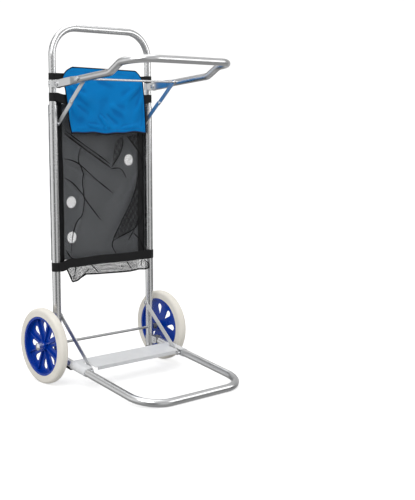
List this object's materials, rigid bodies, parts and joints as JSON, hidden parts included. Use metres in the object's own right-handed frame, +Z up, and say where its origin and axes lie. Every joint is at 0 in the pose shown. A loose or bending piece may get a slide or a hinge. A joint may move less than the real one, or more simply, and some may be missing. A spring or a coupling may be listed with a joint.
{
  "type": "beach cart",
  "caption": "Folding two-wheeled beach cart with tube frame, hinged luggage platform and arm, table panel, net bag and front bag.",
  "frame": {"origin": "middle of the cart's footprint box, on the floor", "axes": "+Z up, -Y towards the platform and the arm (the front), +X to the right of someone who faces the cart's front"},
  "size_m": [0.492, 0.5511, 1.0301],
  "materials": {
    "tube_aluminium": "drawn and anodised",
    "flat_bar_aluminium": "brushed",
    "plated_steel": "plated, satin",
    "black_webbing": "woven webbing",
    "grey_plastic": "moulded",
    "panel_grey": "coated cloth over board",
    "net": "open mesh",
    "blue_fabric": "plain-weave polyester",
    "plate_grey": "satin",
    "black_rubber": "matt",
    "blue_plastic": "moulded, glossy",
    "foam_tyre": "foam, matt"
  },
  "bodies": {
    "frame": {"handle_tube": "tube_aluminium", "rail_left": "tube_aluminium", "rail_right": "tube_aluminium", "rail_end_plugs": "grey_plastic", "rail_rivets": "plated_steel", "axle": "plated_steel", "wheel_spacers": "grey_plastic", "axle_caps": "plated_steel", "upper_hinge_bracket_left": "flat_bar_aluminium", "upper_hinge_bracket_right": "flat_bar_aluminium", "arm_pivot_pins": "plated_steel", "lower_hinge_bracket_left": "flat_bar_aluminium", "lower_hinge_bracket_right": "flat_bar_aluminium", "platform_pivot_pins": "plated_steel", "knee_studs": "plated_steel", "hook_studs": "plated_steel", "table_panel": "panel_grey", "upper_band": "black_webbing", "lower_band": "black_webbing", "side_tapes": "black_webbing", "net_bag": "net", "bag_straps": "black_webbing", "front_bag": "blue_fabric"},
    "upper_arm": {"upper_arm_tube": "tube_aluminium", "cross_rod": "plated_steel", "cross_rod_nuts": "plated_steel", "rod_spacers": "plated_steel"},
    "platform": {"platform_tube": "tube_aluminium", "platform_knuckles": "grey_plastic", "load_plate": "plate_grey", "rubber_bumpers": "black_rubber", "brace_foot_pins": "plated_steel"},
    "upper_link_left": {"upper_link_left": "flat_bar_aluminium", "knee_rivet_left": "plated_steel"},
    "lower_link_left": {"lower_link_left": "flat_bar_aluminium", "knee_washer_left": "plated_steel"},
    "platform_brace_left": {"platform_brace_left": "flat_bar_aluminium"},
    "wheel_left": {"wheel_rim_left": "blue_plastic", "tyre_left": "foam_tyre", "hub_bush_left": "grey_plastic"},
    "upper_link_right": {"upper_link_right": "flat_bar_aluminium", "knee_rivet_right": "plated_steel"},
    "lower_link_right": {"lower_link_right": "flat_bar_aluminium", "knee_washer_right": "plated_steel"},
    "platform_brace_right": {"platform_brace_right": "flat_bar_aluminium"},
    "wheel_right": {"wheel_rim_right": "blue_plastic", "tyre_right": "foam_tyre", "hub_bush_right": "grey_plastic"}
  },
  "joints": [
    {"name": "arm_fold", "type": "hinge", "parent": "frame", "child": "upper_arm", "pos_m": [0, 0.1395, 0.86], "axis": [1, 0, 0], "range_deg": [0, 95.4]},
    {"name": "platform_fold", "type": "hinge", "parent": "frame", "child": "platform", "pos_m": [0, 0.139, 0.072], "axis": [-1, 0, 0], "range_deg": [0, 98.6]},
    {"name": "upper_link_left_turn", "type": "hinge", "parent": "upper_arm", "child": "upper_link_left", "pos_m": [0, 0.028, 0.87054], "axis": [1, 0, 0], "range_deg": [-135.63, 0]},
    {"name": "lower_link_left_turn", "type": "hinge", "parent": "frame", "child": "lower_link_left", "pos_m": [0, 0.1655, 0.748], "axis": [1, 0, 0], "range_deg": [0, 123.64]},
    {"name": "platform_brace_left_turn", "type": "hinge", "parent": "platform", "child": "platform_brace_left", "pos_m": [0, 0.0155, 0.05333], "axis": [1, 0, 0], "range_deg": [0, 146.73]},
    {"name": "upper_link_right_turn", "type": "hinge", "parent": "upper_arm", "child": "upper_link_right", "pos_m": [0, 0.028, 0.87054], "axis": [1, 0, 0], "range_deg": [-135.63, 0]},
    {"name": "lower_link_right_turn", "type": "hinge", "parent": "frame", "child": "lower_link_right", "pos_m": [0, 0.1655, 0.748], "axis": [1, 0, 0], "range_deg": [0, 123.64]},
    {"name": "platform_brace_right_turn", "type": "hinge", "parent": "platform", "child": "platform_brace_right", "pos_m": [0, 0.0155, 0.05333], "axis": [1, 0, 0], "range_deg": [0, 146.73]},
    {"name": "wheel_left_spin", "type": "hinge", "parent": "frame", "child": "wheel_left", "pos_m": [-0.221, 0.1655, 0.11], "axis": [1, 0, 0], "continuous": true},
    {"name": "wheel_right_spin", "type": "hinge", "parent": "frame", "child": "wheel_right", "pos_m": [0.221, 0.1655, 0.11], "axis": [1, 0, 0], "continuous": true}
  ],
  "couplings": [
    {"joint": "upper_link_left_turn", "follows": "arm_fold", "ratio": -1.4212},
    {"joint": "lower_link_left_turn", "follows": "arm_fold", "ratio": 1.2955},
    {"joint": "platform_brace_left_turn", "follows": "platform_fold", "ratio": 1.4877},
    {"joint": "upper_link_right_turn", "follows": "arm_fold", "ratio": -1.4212},
    {"joint": "lower_link_right_turn", "follows": "arm_fold", "ratio": 1.2955},
    {"joint": "platform_brace_right_turn", "follows": "platform_fold", "ratio": 1.4877}
  ]
}
